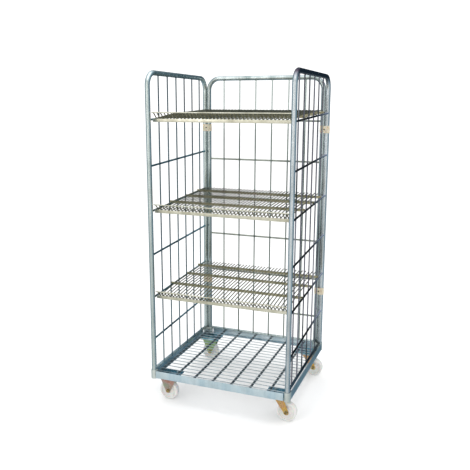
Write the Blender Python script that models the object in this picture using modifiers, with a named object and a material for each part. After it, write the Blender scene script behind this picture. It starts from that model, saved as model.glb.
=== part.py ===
"""Roll cage container: a wheeled base, three tube-and-wire panels, an open front and three shelves.

Metres, +Z up. The floor is z = 0, the open front faces -Y, and the origin is the centre of the bounding box.
The frame of the cage sits CAGE_SHIFT_X from the origin, because the trailing wheels reach past one side.
"""

import math

import bmesh
import bpy
from mathutils import Matrix, Vector

GAP = 0.0003

# Panels
PANEL_X = 0.3635
PANEL_Y = 0.343
TUBE_R = 0.0125
TUBE_PITCH = 0.026
TOP_TUBE_Z = 1.695
CORNER_R = 0.065
CORNER_STEPS = 6
PANEL_GAPS = 7
UPRIGHT_R = 0.0035
ROD_R = 0.005
WELD_SINK = 0.0005
ROD_COUNT = 6
ROD_PITCH = 0.225
SIDE_ROD_TOP = 1.4715
SIDE_ROD_RISE = 0.033
BACK_ROD_TOP = 1.4615
FOOT_BAR_R = 0.007
FOOT_BAR_Z = 0.180
ROD_OUTSET = 0.0015
UPRIGHT_INSET = UPRIGHT_R + ROD_R - WELD_SINK - ROD_OUTSET

# Base
RAIL_BOTTOM = 0.138
RAIL_TOP = 0.178
RAIL_THICK = 0.003
RAIL_FLANGE = 0.025
SOCKET_R = 0.0165
SOCKET_BOTTOM = 0.133
SOCKET_TOP = 0.180
SOCKET_FLOOR = 0.003
BORE_R = TUBE_R + GAP
BASE_X = PANEL_X + SOCKET_R
BASE_Y = PANEL_Y + SOCKET_R
POST_BOTTOM = SOCKET_BOTTOM + SOCKET_FLOOR + GAP

# Deck of the base
DECK_BAR = (0.010, 0.008)
DECK_BAR_COUNT = 7
DECK_BAR_PITCH = 0.1013
DECK_BAR_FIRST_X = -0.338
DECK_BAR_TOP = 0.170
DECK_WIRE = 0.004
DECK_WIRE_COUNT = 19
DECK_WIRE_PITCH = 0.037
DECK_HALF_WIDTH = 0.350

# Mounting plates under the corners
PLATE_X = (0.240, 0.352)
PLATE_Y = (0.235, 0.326)
PLATE_THICK = 0.004

# Shelves
SHELF_WIRE = 0.005
SHELF_WIRE_COUNT = 37
SHELF_WIRE_PITCH = 0.0188
SHELF_BAR = (0.006, 0.010)
SHELF_BAR_Y = (-0.115, 0.068, 0.234)
SHELF_BAR_REACH = 0.368
SHELF_FRONT_Y = -0.305
SHELF_FRONT_DROP = 0.0115
SHELF_FRONT_DEPTH = 0.016
SHELF_NOTCH_X = 0.356
SHELF_NOTCH_DEPTH = 0.004
SHELF_FRONT_REACH = 0.3585
SHELF_REAR_Y = 0.290
SHELF_LIP_Y = -0.333
SHELF_LIP_RISE = 0.027
SHELF_LIP_REACH = 0.350
SHELF_BEND_Y = -0.306
SHELF_LEVELS = {"top": 0, "middle": 2, "bottom": 4}

# Clips that hold the rear posts together
CLIP_R = 0.015
CLIP_HEIGHT = 0.040
CLIP_Z = (1.417, 0.4955)
CLIP_SCREW_R = 0.002
CLIP_SCREW_LENGTH = 0.005
CLIP_HEAD_R = 0.004
CLIP_HEAD_THICK = 0.002

# Casters
WHEEL_R = 0.050
WHEEL_HALF_WIDTH = 0.016
WHEEL_EDGE = 0.003
WHEEL_DISH = 0.006
WHEEL_WEB_R = (0.021, 0.035)
WHEEL_HUB_R = 0.018
WHEEL_HUB_PROUD = 0.0015
FIXED_X = -0.306
SWIVEL_X = 0.314
CASTER_Y = 0.283
TRAIL = 0.034
CASTER_PLATE = (0.105, 0.085, 0.003)
CASTER_PLATE_TOP = RAIL_BOTTOM - GAP
LEG_INNER = 0.019
LEG_THICK = 0.003
LEG_END_R = 0.014
FIXED_LEG_HALF_TOP = 0.0515
SWIVEL_LEG_TOP = (-0.035, 0.020)
AXLE_R = 0.005
AXLE_BORE_R = AXLE_R + GAP
AXLE_HEAD_R = 0.0085
AXLE_HEAD_THICK = 0.006
NUT_THICK = 0.007
BUSH_R = 0.008
CROWN_R = 0.036
CROWN_TOP = 0.1254
CROWN_THICK = 0.003
RACE_R = (0.019, 0.030)
KINGPIN_R = 0.006
KINGPIN_HEAD_R = 0.011
KINGPIN_BOTTOM = 0.116

CAGE_SHIFT_X = (BASE_X - (SWIVEL_X + TRAIL + WHEEL_R)) / 2


def clear_scene():
    """Remove whatever the startup scene holds."""
    for obj in list(bpy.data.objects):
        bpy.data.objects.remove(obj, do_unlink=True)


def new_material(name, colour, roughness, metallic):
    material = bpy.data.materials.new(name)
    material.use_nodes = True
    shader = material.node_tree.nodes["Principled BSDF"]
    shader.inputs["Base Color"].default_value = (*colour, 1.0)
    shader.inputs["Roughness"].default_value = roughness
    shader.inputs["Metallic"].default_value = metallic
    return material


def new_collection(name):
    collection = bpy.data.collections.new(name)
    bpy.context.scene.collection.children.link(collection)
    return collection


def add_part(name, mesh, material, parent, location=(0, 0, 0), rotation=(0, 0, 0)):
    """Put a mesh in the parts collection as one named piece."""
    part = bpy.data.objects.new(name, mesh)
    if not mesh.materials:
        mesh.materials.append(material)
    PARTS.objects.link(part)
    part.parent = parent
    part.location = location
    part.rotation_euler = rotation
    return part


def add_pivot(name, parent, location=(0, 0, 0)):
    """Add an empty that marks a frame or a joint's axis."""
    pivot = bpy.data.objects.new(name, None)
    pivot.empty_display_size = 0.05
    PARTS.objects.link(pivot)
    pivot.parent = parent
    pivot.location = location
    return pivot


def mesh_from(name, bm, smooth_angle=None):
    """Turn a bmesh into a mesh, shaded smooth below the given angle."""
    bmesh.ops.recalc_face_normals(bm, faces=bm.faces)
    mesh = bpy.data.meshes.new(name)
    bm.to_mesh(mesh)
    bm.free()
    if smooth_angle:
        mesh.shade_smooth()
        mesh.set_sharp_from_angle(angle=math.radians(smooth_angle))
    return mesh


def add_box(bm, low, high):
    """Add a box between two corners."""
    low = Vector(low)
    high = Vector(high)
    size = high - low
    place = Matrix.Translation((low + high) / 2) @ Matrix.Diagonal((*size, 1.0))
    bmesh.ops.create_cube(bm, size=1.0, matrix=place)


def add_rod(bm, start, end, radius, sides=6, turn=0.0):
    """Add a closed round rod between two points, turned about its own length by the given angle."""
    start = Vector(start)
    end = Vector(end)
    along = end - start
    turned_to_line = along.to_track_quat("Z", "X").to_matrix().to_4x4()
    place = Matrix.Translation((start + end) / 2) @ turned_to_line @ Matrix.Rotation(turn, 4, "Z")
    bmesh.ops.create_cone(
        bm, cap_ends=True, segments=sides, radius1=radius, radius2=radius, depth=along.length, matrix=place
    )


def flat_radius(half_thickness, sides):
    """Corner radius of a regular prism whose flats lie half_thickness from its axis."""
    return half_thickness / math.cos(math.pi / sides)


def combined(name, base, others, operation="UNION"):
    """One mesh: the base joined with, or cut by, each of the other meshes in turn."""
    holder = bpy.data.objects.new(name + "_base", base)
    GUIDES.objects.link(holder)
    for index, other in enumerate(others):
        tool = bpy.data.objects.new(f"{name}_tool_{index}", other)
        tool.hide_render = True
        tool.display_type = "WIRE"
        GUIDES.objects.link(tool)
        modifier = holder.modifiers.new(f"{operation}_{index}", "BOOLEAN")
        modifier.operation = operation
        modifier.solver = "EXACT"
        modifier.object = tool
    bpy.context.view_layer.update()
    graph = bpy.context.evaluated_depsgraph_get()
    mesh = bpy.data.meshes.new_from_object(holder.evaluated_get(graph))
    mesh.name = name
    for obj in list(GUIDES.objects):
        bpy.data.objects.remove(obj, do_unlink=True)
    return mesh


def extruded(name, outline, thickness):
    """A flat plate in the XY plane, centred on z = 0, from a closed outline."""
    curve = bpy.data.curves.new(name, "CURVE")
    curve.dimensions = "2D"
    curve.fill_mode = "BOTH"
    curve.extrude = thickness / 2
    spline = curve.splines.new("POLY")
    spline.points.add(len(outline) - 1)
    for point, (x, y) in zip(spline.points, outline):
        point.co = (x, y, 0, 1)
    spline.use_cyclic_u = True
    return solid_from_curve(name, curve)


def solid_from_curve(name, curve):
    """The curve's evaluated shape as a closed mesh, its caps welded to its sides."""
    holder = bpy.data.objects.new(name, curve)
    GUIDES.objects.link(holder)
    bpy.context.view_layer.update()
    graph = bpy.context.evaluated_depsgraph_get()
    mesh = bpy.data.meshes.new_from_object(holder.evaluated_get(graph))
    bpy.data.objects.remove(holder, do_unlink=True)
    bm = bmesh.new()
    bm.from_mesh(mesh)
    bmesh.ops.remove_doubles(bm, verts=bm.verts, dist=0.00001)
    bmesh.ops.recalc_face_normals(bm, faces=bm.faces)
    bm.to_mesh(mesh)
    bm.free()
    return mesh


def turned(name, profile, steps):
    """A turned piece about Z. The profile lists (radius, z), and is a loop where it misses the axis."""
    mesh = bpy.data.meshes.new(name)
    bm = bmesh.new()
    ring = [bm.verts.new((radius, 0, z)) for radius, z in profile]
    pairs = list(zip(ring, ring[1:]))
    if profile[0][0] > 0:
        pairs.append((ring[-1], ring[0]))
    for first, second in pairs:
        bm.edges.new((first, second))
    bm.to_mesh(mesh)
    bm.free()
    holder = bpy.data.objects.new(name, mesh)
    GUIDES.objects.link(holder)
    screw = holder.modifiers.new("turn", "SCREW")
    screw.steps = steps
    screw.render_steps = steps
    screw.use_merge_vertices = True
    screw.merge_threshold = 0.00001
    screw.use_normal_calculate = True
    bpy.context.view_layer.update()
    graph = bpy.context.evaluated_depsgraph_get()
    bm = bmesh.new()
    bm.from_mesh(holder.evaluated_get(graph).to_mesh())
    bpy.data.objects.remove(holder, do_unlink=True)
    return mesh_from(name, bm, smooth_angle=35)


def ring_profile(inner, outer, bottom, top):
    return [(outer, top), (outer, bottom), (inner, bottom), (inner, top)]


def arc(centre, radius, start, end, steps):
    """Points on an arc in the plane of the outline, from one angle to another in degrees."""
    points = []
    for index in range(steps + 1):
        angle = math.radians(start + (end - start) * index / steps)
        points.append((centre[0] + radius * math.cos(angle), centre[1] + radius * math.sin(angle)))
    return points


def box_mesh(name, low, high):
    bm = bmesh.new()
    add_box(bm, low, high)
    return mesh_from(name, bm)


def tube_frame(name, half_span):
    """An inverted U of bent tube in the XZ plane, with its feet at POST_BOTTOM."""
    left = arc((-half_span + CORNER_R, TOP_TUBE_Z - CORNER_R), CORNER_R, 180, 90, CORNER_STEPS)
    right = arc((half_span - CORNER_R, TOP_TUBE_Z - CORNER_R), CORNER_R, 90, 0, CORNER_STEPS)
    route = [(-half_span, POST_BOTTOM), *left, *right, (half_span, POST_BOTTOM)]
    curve = bpy.data.curves.new(name, "CURVE")
    curve.dimensions = "3D"
    curve.bevel_depth = TUBE_R
    curve.bevel_resolution = 4
    curve.use_fill_caps = True
    spline = curve.splines.new("POLY")
    spline.points.add(len(route) - 1)
    for point, (x, z) in zip(spline.points, route):
        point.co = (x, 0, z, 1)
    mesh = solid_from_curve(name, curve)
    mesh.shade_smooth()
    mesh.set_sharp_from_angle(angle=math.radians(40))
    return mesh


def panel_grid(name, half_span, outward, rod_top, rise):
    """Uprights, cross rods and the foot bar of one panel, welded into a grid in the XZ plane.

    outward is +1 or -1: the side of the panel, along Y, that the cross rods are on.
    """
    uprights = bmesh.new()
    radius = flat_radius(UPRIGHT_R, 6)
    top = TOP_TUBE_Z - TUBE_R - GAP
    for index in range(1, PANEL_GAPS):
        x = -half_span + 2 * half_span * index / PANEL_GAPS
        y = -outward * UPRIGHT_INSET
        add_rod(uprights, (x, y, FOOT_BAR_Z), (x, y, top), radius, turn=math.pi / 6)
    cross = bmesh.new()
    radius = flat_radius(ROD_R, 6)
    reach = half_span - TUBE_R - GAP
    for index in range(ROD_COUNT):
        z = rod_top - index * ROD_PITCH
        start_z = z + rise * (half_span - reach) / (2 * half_span)
        end_z = z + rise * (half_span + reach) / (2 * half_span)
        y = outward * ROD_OUTSET
        add_rod(cross, (-reach, y, start_z), (reach, y, end_z), radius)
    reach = half_span - SOCKET_R - GAP
    add_rod(cross, (-reach, 0, FOOT_BAR_Z), (reach, 0, FOOT_BAR_Z), FOOT_BAR_R, sides=8, turn=math.pi / 8)
    return combined(name, mesh_from(name + "_cross", cross), [mesh_from(name + "_uprights", uprights)])


def build_panels(cage):
    """The two side panels and the back panel, each a bent tube and a welded grid."""
    quarter = math.pi / 2
    side_tube = tube_frame("side_tube", PANEL_Y)
    for word, sign in (("left", -1), ("right", 1)):
        place = {"location": (sign * PANEL_X, 0, 0), "rotation": (0, 0, quarter)}
        add_part(f"side_frame_{word}", side_tube, ZINC, cage, **place)
        grid = panel_grid(f"side_grid_{word}", PANEL_Y, -sign, SIDE_ROD_TOP, SIDE_ROD_RISE)
        add_part(f"side_grid_{word}", grid, ZINC, cage, **place)
    back_span = PANEL_X - TUBE_PITCH
    add_part("back_frame", tube_frame("back_tube", back_span), ZINC, cage, (0, PANEL_Y, 0))
    grid = panel_grid("back_grid", back_span, 1, BACK_ROD_TOP, 0.0)
    add_part("back_grid", grid, ZINC, cage, (0, PANEL_Y, 0))


def angle_outline():
    """Section of a base rail: the upright leg faces +X and the flange points to -X along the bottom."""
    return [
        (0, RAIL_BOTTOM),
        (0, RAIL_TOP),
        (-RAIL_THICK, RAIL_TOP),
        (-RAIL_THICK, RAIL_BOTTOM + RAIL_THICK),
        (-RAIL_FLANGE, RAIL_BOTTOM + RAIL_THICK),
        (-RAIL_FLANGE, RAIL_BOTTOM),
    ]


def build_rails(cage):
    """Four angle rails, each between two corner sockets."""
    quarter = math.pi / 2
    side_length = 2 * (PANEL_Y - SOCKET_R - GAP)
    front_length = 2 * (PANEL_X - SOCKET_R - GAP)
    rear_length = front_length - 2 * TUBE_PITCH
    rails = (
        ("rail_right", side_length, (BASE_X, 0, 0), 0),
        ("rail_rear", rear_length, (0, BASE_Y, 0), quarter),
        ("rail_left", side_length, (-BASE_X, 0, 0), 2 * quarter),
        ("rail_front", front_length, (0, -BASE_Y, 0), 3 * quarter),
    )
    for name, length, location, turn in rails:
        mesh = extruded(name, angle_outline(), length)
        add_part(name, mesh, ZINC_RAIL, cage, location, (quarter, 0, turn))


def socket_mesh(name, offsets):
    """A cup that takes one post, or two side by side along X."""
    bottom = SOCKET_BOTTOM
    left = arc((offsets[0], 0), SOCKET_R, 90, 270, 8)
    right = arc((offsets[-1], 0), SOCKET_R, -90, 90, 8)
    if offsets[0] == offsets[-1]:
        right = right[1:-1]
    body = extruded(name + "_body", left + right, SOCKET_TOP - bottom)
    body.transform(Matrix.Translation((0, 0, (SOCKET_TOP + bottom) / 2)))
    bores = []
    for x in offsets:
        bm = bmesh.new()
        add_rod(bm, (x, 0, bottom + SOCKET_FLOOR), (x, 0, SOCKET_TOP + SOCKET_R), BORE_R, sides=16)
        bores.append(mesh_from(name + "_bore", bm))
    mesh = combined(name, body, bores, "DIFFERENCE")
    mesh.shade_smooth()
    mesh.set_sharp_from_angle(angle=math.radians(35))
    return mesh


def build_sockets(cage):
    """Front sockets take a side panel's post. Rear sockets also take the back panel's post beside it."""
    single = socket_mesh("single_socket", (0,))
    double = socket_mesh("double_socket", (-TUBE_PITCH / 2, TUBE_PITCH / 2))
    for word, sign in (("left", -1), ("right", 1)):
        add_part(f"socket_front_{word}", single, ZINC_RAIL, cage, (sign * PANEL_X, -PANEL_Y, 0))
        middle = sign * (PANEL_X - TUBE_PITCH / 2)
        add_part(f"socket_rear_{word}", double, ZINC_RAIL, cage, (middle, PANEL_Y, 0))


def build_deck(cage):
    """Flat bars front to back, with thinner wires welded across their tops."""
    bars = bmesh.new()
    inner = BASE_Y - RAIL_THICK - GAP
    for index in range(DECK_BAR_COUNT):
        x = DECK_BAR_FIRST_X + index * DECK_BAR_PITCH
        beside_socket = abs(x) + DECK_BAR[0] > PANEL_X - TUBE_PITCH - SOCKET_R
        rear = PANEL_Y - SOCKET_R - GAP if beside_socket else inner
        low = (x - DECK_BAR[0] / 2, -inner, DECK_BAR_TOP - DECK_BAR[1])
        add_box(bars, low, (x + DECK_BAR[0] / 2, rear, DECK_BAR_TOP))
    wires = bmesh.new()
    for index in range(DECK_WIRE_COUNT):
        y = (index - (DECK_WIRE_COUNT - 1) / 2) * DECK_WIRE_PITCH
        between_sockets = abs(y) + DECK_WIRE / 2 > PANEL_Y - SOCKET_R - GAP
        socket_width = SOCKET_R + GAP + (TUBE_PITCH if y > 0 else 0)
        reach = PANEL_X - socket_width if between_sockets else DECK_HALF_WIDTH
        low = (-reach, y - DECK_WIRE / 2, DECK_BAR_TOP)
        add_box(wires, low, (reach, y + DECK_WIRE / 2, DECK_BAR_TOP + DECK_WIRE))
    mesh = combined("deck_grid", mesh_from("deck_bars", bars), [mesh_from("deck_wires", wires)])
    add_part("deck_grid", mesh, ZINC, cage)


def build_mounting_plates(cage):
    """One plate inside each corner of the base, which a caster bolts to."""
    size = (PLATE_X[1] - PLATE_X[0], PLATE_Y[1] - PLATE_Y[0])
    half = (size[0] / 2, size[1] / 2)
    mesh = box_mesh("mounting_plate", (-half[0], -half[1], 0), (half[0], half[1], PLATE_THICK))
    middle = (sum(PLATE_X) / 2, sum(PLATE_Y) / 2)
    for corner, sign_x, sign_y in CORNERS:
        place = (sign_x * middle[0], sign_y * middle[1], RAIL_BOTTOM)
        add_part(f"mounting_plate_{corner}", mesh, ZINC_BLUE, cage, place)


def add_notched_bar(bm, y):
    """A flat bar across the shelf, with its ends cut away below to sit on the side rods."""
    outline = [
        (-SHELF_BAR_REACH, 0),
        (-SHELF_NOTCH_X, 0),
        (-SHELF_NOTCH_X, -SHELF_NOTCH_DEPTH),
        (SHELF_NOTCH_X, -SHELF_NOTCH_DEPTH),
        (SHELF_NOTCH_X, 0),
        (SHELF_BAR_REACH, 0),
        (SHELF_BAR_REACH, SHELF_BAR[1]),
        (-SHELF_BAR_REACH, SHELF_BAR[1]),
    ]
    half = SHELF_BAR[0] / 2
    near = [bm.verts.new((x, y - half, z)) for x, z in outline]
    far = [bm.verts.new((x, y + half, z)) for x, z in outline]
    bm.faces.new(near)
    bm.faces.new(list(reversed(far)))
    for index in range(len(outline)):
        after = (index + 1) % len(outline)
        bm.faces.new((near[after], near[index], far[index], far[after]))


def shelf_mesh():
    """Wires front to back on three flat bars, drawn down to a fourth at the front and bent up to a lip.

    The deck lies flat here, with z = 0 at the underside of the three bars.
    """
    bar_top = SHELF_BAR[1]
    half = SHELF_WIRE / 2
    wires = bmesh.new()
    slope = SHELF_LIP_RISE / (SHELF_BEND_Y - SHELF_LIP_Y)
    for index in range(SHELF_WIRE_COUNT):
        x = (index - (SHELF_WIRE_COUNT - 1) / 2) * SHELF_WIRE_PITCH
        made = bmesh.ops.create_cube(wires, size=1.0)["verts"]
        length = SHELF_REAR_Y - SHELF_LIP_Y
        middle = Matrix.Translation((x, SHELF_LIP_Y + length / 2, bar_top + half))
        stretch = Matrix.Diagonal((SHELF_WIRE, length, SHELF_WIRE, 1))
        bmesh.ops.transform(wires, matrix=middle @ stretch, verts=made)
    everything = wires.verts[:] + wires.edges[:] + wires.faces[:]
    for y in (SHELF_BAR_Y[0], SHELF_BEND_Y):
        bmesh.ops.bisect_plane(wires, geom=everything, plane_co=(0, y, 0), plane_no=(0, 1, 0))
        everything = wires.verts[:] + wires.edges[:] + wires.faces[:]
    for vert in wires.verts:
        along = (SHELF_BAR_Y[0] - vert.co.y) / (SHELF_BAR_Y[0] - SHELF_BEND_Y)
        vert.co.z -= SHELF_FRONT_DROP * min(max(along, 0.0), 1.0)
        if vert.co.y < SHELF_BEND_Y:
            vert.co.z += slope * (SHELF_BEND_Y - vert.co.y)
    bars = bmesh.new()
    for y in SHELF_BAR_Y:
        add_notched_bar(bars, y)
    front_top = bar_top - SHELF_FRONT_DROP + WELD_SINK
    low = (-SHELF_FRONT_REACH, SHELF_FRONT_Y - SHELF_BAR[0] / 2, front_top - SHELF_FRONT_DEPTH)
    high = (SHELF_FRONT_REACH, SHELF_FRONT_Y + SHELF_BAR[0] / 2, front_top)
    add_box(bars, low, high)
    lip_z = bar_top - SHELF_FRONT_DROP + SHELF_LIP_RISE + SHELF_WIRE - WELD_SINK
    low = (-SHELF_LIP_REACH, SHELF_LIP_Y - half, lip_z - half)
    add_box(bars, low, (SHELF_LIP_REACH, SHELF_LIP_Y + half, lip_z + half))
    return combined("shelf", mesh_from("shelf_bars", bars), [mesh_from("shelf_wires", wires)])


def build_shelves(cage):
    """Three equal shelves, each resting on the rising rods of the side panels."""
    tilt = math.atan(SIDE_ROD_RISE / (2 * PANEL_Y))
    mesh = shelf_mesh()
    for word, level in SHELF_LEVELS.items():
        rest = SIDE_ROD_TOP - level * ROD_PITCH + SIDE_ROD_RISE / 2 + (ROD_R + GAP) / math.cos(tilt)
        add_part(f"shelf_{word}", mesh, SHELF_WIRE_FINISH, cage, (0, 0, rest), (tilt, 0, 0))


def clip_mesh():
    """A plastic band round two posts, with a hole for its screw in the front."""
    half = TUBE_PITCH / 2
    left = arc((-half, 0), CLIP_R, 90, 270, 8)
    right = arc((half, 0), CLIP_R, -90, 90, 8)
    body = extruded("clip_body", left + right, CLIP_HEIGHT)
    tools = []
    for x in (-half, half):
        bm = bmesh.new()
        add_rod(bm, (x, 0, -CLIP_HEIGHT), (x, 0, CLIP_HEIGHT), BORE_R, sides=16)
        tools.append(mesh_from("clip_bore", bm))
    bm = bmesh.new()
    depth = -CLIP_R + CLIP_SCREW_LENGTH + GAP
    add_rod(bm, (0, -2 * CLIP_R, 0), (0, depth, 0), CLIP_SCREW_R + GAP, sides=8)
    tools.append(mesh_from("clip_screw_hole", bm))
    mesh = combined("clip", body, tools, "DIFFERENCE")
    mesh.shade_smooth()
    mesh.set_sharp_from_angle(angle=math.radians(35))
    return mesh


def build_clips(cage):
    """Two clips at each rear corner, each with one screw from inside the cage."""
    clip = clip_mesh()
    face = SOCKET_R + GAP
    profile = [
        (0, CLIP_HEAD_THICK),
        (CLIP_HEAD_R, CLIP_HEAD_THICK / 2),
        (CLIP_HEAD_R, 0),
        (CLIP_SCREW_R, 0),
        (CLIP_SCREW_R, -CLIP_SCREW_LENGTH - GAP),
        (0, -CLIP_SCREW_LENGTH - GAP),
    ]
    screw = turned("clip_screw", profile, 10)
    for word, sign in (("left", -1), ("right", 1)):
        x = sign * (PANEL_X - TUBE_PITCH / 2)
        for level, z in zip(("upper", "lower"), CLIP_Z):
            add_part(f"clip_{level}_{word}", clip, CLIP_PLASTIC, cage, (x, PANEL_Y, z))
            place = (x, PANEL_Y - face, z)
            add_part(f"clip_screw_{level}_{word}", screw, STEEL, cage, place, (math.pi / 2, 0, 0))


def wheel_mesh():
    """A solid nylon wheel with a dished web and a raised hub, turned about Z."""
    half = WHEEL_HALF_WIDTH
    bore = BUSH_R + GAP
    web = half - WHEEL_DISH
    hub = half + WHEEL_HUB_PROUD
    profile = [
        (WHEEL_R - WHEEL_EDGE, half),
        (WHEEL_R, half - WHEEL_EDGE),
        (WHEEL_R, WHEEL_EDGE - half),
        (WHEEL_R - WHEEL_EDGE, -half),
        (WHEEL_WEB_R[1], -web),
        (WHEEL_WEB_R[0], -web),
        (WHEEL_HUB_R, -hub),
        (bore, -hub),
        (bore, hub),
        (WHEEL_HUB_R, hub),
        (WHEEL_WEB_R[0], web),
        (WHEEL_WEB_R[1], web),
    ]
    return turned("wheel", profile, 20)


def leg_outline(top_left, top_right, top_z, axle_x):
    """A fork leg: straight flanks from the top edge to a round end about the axle."""
    end = arc((axle_x, WHEEL_R), LEG_END_R, 0, -180, 8)
    return [(top_left, top_z), (top_right, top_z), *end]


def leg_meshes(name, outline):
    """The two legs of a fork, standing across Y on either side of the wheel."""
    legs = []
    for sign in (-1, 1):
        leg = extruded(f"{name}_leg", outline, LEG_THICK)
        middle = sign * (LEG_INNER + LEG_THICK / 2)
        leg.transform(Matrix.Translation((0, middle, 0)) @ Matrix.Rotation(math.pi / 2, 4, "X"))
        legs.append(leg)
    return legs


def axle_hole(x):
    bm = bmesh.new()
    reach = 2 * LEG_INNER
    add_rod(bm, (x, -reach, WHEEL_R), (x, reach, WHEEL_R), AXLE_BORE_R, sides=12)
    return mesh_from("axle_hole", bm)


def fixed_bracket_mesh():
    """Plate and two tapering legs, pressed from one sheet."""
    half = (CASTER_PLATE[0] / 2, CASTER_PLATE[1] / 2)
    low = (-half[0], -half[1], CASTER_PLATE_TOP - CASTER_PLATE[2])
    plate = box_mesh("bracket_plate", low, (half[0], half[1], CASTER_PLATE_TOP))
    top = CASTER_PLATE_TOP - CASTER_PLATE[2] / 2
    outline = leg_outline(-FIXED_LEG_HALF_TOP, FIXED_LEG_HALF_TOP, top, 0.0)
    joined = combined("fixed_bracket", plate, leg_meshes("fixed_bracket", outline))
    return combined("fixed_bracket", joined, [axle_hole(0.0)], "DIFFERENCE")


def swivel_fork_mesh():
    """Round crown and two legs that sweep back to the trailing axle."""
    crown = turned(
        "crown", ring_profile(KINGPIN_R + GAP, CROWN_R, CROWN_TOP - CROWN_THICK, CROWN_TOP), 20
    )
    outline = leg_outline(*SWIVEL_LEG_TOP, CROWN_TOP - CROWN_THICK / 2, TRAIL)
    joined = combined("swivel_fork", crown, leg_meshes("swivel_fork", outline))
    return combined("swivel_fork", joined, [axle_hole(TRAIL)], "DIFFERENCE")


def swivel_plate_mesh():
    half = (CASTER_PLATE[0] / 2, CASTER_PLATE[1] / 2)
    low = (-half[0], -half[1], CASTER_PLATE_TOP - CASTER_PLATE[2])
    plate = box_mesh("swivel_plate_body", low, (half[0], half[1], CASTER_PLATE_TOP))
    bm = bmesh.new()
    add_rod(bm, (0, 0, 0), (0, 0, RAIL_TOP), KINGPIN_R + GAP, sides=16)
    return combined("swivel_plate", plate, [mesh_from("kingpin_hole", bm)], "DIFFERENCE")


def kingpin_mesh():
    top = CASTER_PLATE_TOP - GAP
    shoulder = CROWN_TOP - CROWN_THICK - GAP
    profile = [
        (0, top),
        (KINGPIN_R, top),
        (KINGPIN_R, shoulder),
        (KINGPIN_HEAD_R, shoulder),
        (KINGPIN_HEAD_R - 0.002, KINGPIN_BOTTOM),
        (0, KINGPIN_BOTTOM),
    ]
    return turned("kingpin", profile, 12)


def axle_meshes():
    """Axle bolt, nut and bush, turned about Z with the wheel's middle at z = 0."""
    outside = LEG_INNER + LEG_THICK + GAP
    end = outside + NUT_THICK + 0.003
    bolt = turned(
        "axle_bolt",
        [
            (0, end),
            (AXLE_R, end),
            (AXLE_R, -outside),
            (AXLE_HEAD_R, -outside),
            (AXLE_HEAD_R, -outside - AXLE_HEAD_THICK),
            (0, -outside - AXLE_HEAD_THICK),
        ],
        12,
    )
    nut = turned("axle_nut", ring_profile(AXLE_BORE_R, AXLE_HEAD_R, outside, outside + NUT_THICK), 12)
    reach = LEG_INNER - GAP
    bush = turned("wheel_bush", ring_profile(AXLE_BORE_R, BUSH_R, -reach, reach), 16)
    return bolt, nut, bush


def add_wheel_set(corner, wheel, axle, parent, x):
    """Wheel, bush, axle bolt and nut on one axle along Y, hung under the given frame."""
    axis = add_pivot(f"axle_axis_{corner}", parent, (x, 0, WHEEL_R))
    across = {"rotation": (math.pi / 2, 0, 0)}
    bolt, nut, bush = axle
    add_part(f"wheel_{corner}", wheel, NYLON, axis, **across)
    add_part(f"wheel_bush_{corner}", bush, STEEL, axis, **across)
    add_part(f"axle_bolt_{corner}", bolt, GOLD_ZINC, axis, **across)
    add_part(f"axle_nut_{corner}", nut, GOLD_ZINC, axis, **across)


def build_casters(cage):
    """Two fixed casters on the left and two swivel casters on the right."""
    wheel = wheel_mesh()
    axle = axle_meshes()
    bracket = fixed_bracket_mesh()
    plate = swivel_plate_mesh()
    fork = swivel_fork_mesh()
    kingpin = kingpin_mesh()
    race_bottom = CROWN_TOP + GAP
    race_top = CASTER_PLATE_TOP - CASTER_PLATE[2] - GAP
    race = turned("ball_race", ring_profile(*RACE_R, race_bottom, race_top), 20)
    for corner, sign_x, sign_y in CORNERS:
        if sign_x < 0:
            frame = add_pivot(f"caster_{corner}", cage, (FIXED_X, sign_y * CASTER_Y, 0))
            add_part(f"fixed_bracket_{corner}", bracket, GOLD_ZINC, frame)
            add_wheel_set(corner, wheel, axle, frame, 0.0)
            continue
        frame = add_pivot(f"caster_{corner}", cage, (SWIVEL_X, sign_y * CASTER_Y, 0))
        add_part(f"swivel_plate_{corner}", plate, GOLD_ZINC, frame)
        add_part(f"kingpin_{corner}", kingpin, STEEL, frame)
        swivel = add_pivot(f"swivel_axis_{corner}", frame)
        add_part(f"ball_race_{corner}", race, STEEL, swivel)
        add_part(f"swivel_fork_{corner}", fork, GOLD_ZINC, swivel)
        add_wheel_set(corner, wheel, axle, swivel, TRAIL)


CORNERS = (
    ("front_left", -1, -1),
    ("front_right", 1, -1),
    ("rear_left", -1, 1),
    ("rear_right", 1, 1),
)

clear_scene()
PARTS = new_collection("roll_cage_container")
GUIDES = new_collection("construction_guides")

ZINC = new_material("zinc_tube", (0.50, 0.56, 0.58), 0.28, 0.9)
ZINC_RAIL = new_material("zinc_rail", (0.55, 0.62, 0.65), 0.38, 0.7)
ZINC_BLUE = new_material("zinc_blue_plate", (0.20, 0.42, 0.50), 0.30, 0.9)
SHELF_WIRE_FINISH = new_material("shelf_wire", (0.52, 0.47, 0.35), 0.35, 0.5)
CLIP_PLASTIC = new_material("clip_plastic", (0.83, 0.72, 0.52), 0.5, 0.0)
GOLD_ZINC = new_material("gold_zinc", (0.72, 0.52, 0.22), 0.30, 0.9)
NYLON = new_material("nylon_wheel", (0.86, 0.86, 0.84), 0.45, 0.0)
STEEL = new_material("steel", (0.55, 0.55, 0.55), 0.35, 0.9)

CAGE = add_pivot("cage", None, (CAGE_SHIFT_X, 0, 0))
build_rails(CAGE)
build_sockets(CAGE)
build_deck(CAGE)
build_mounting_plates(CAGE)
build_panels(CAGE)
build_shelves(CAGE)
build_clips(CAGE)
build_casters(CAGE)
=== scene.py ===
"""Looks of the roll cage container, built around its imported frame.

Metres, +Z up, and the open front faces -Y.
"""

import math

import bmesh
import bpy
from mathutils import Euler, Matrix, Vector


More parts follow.
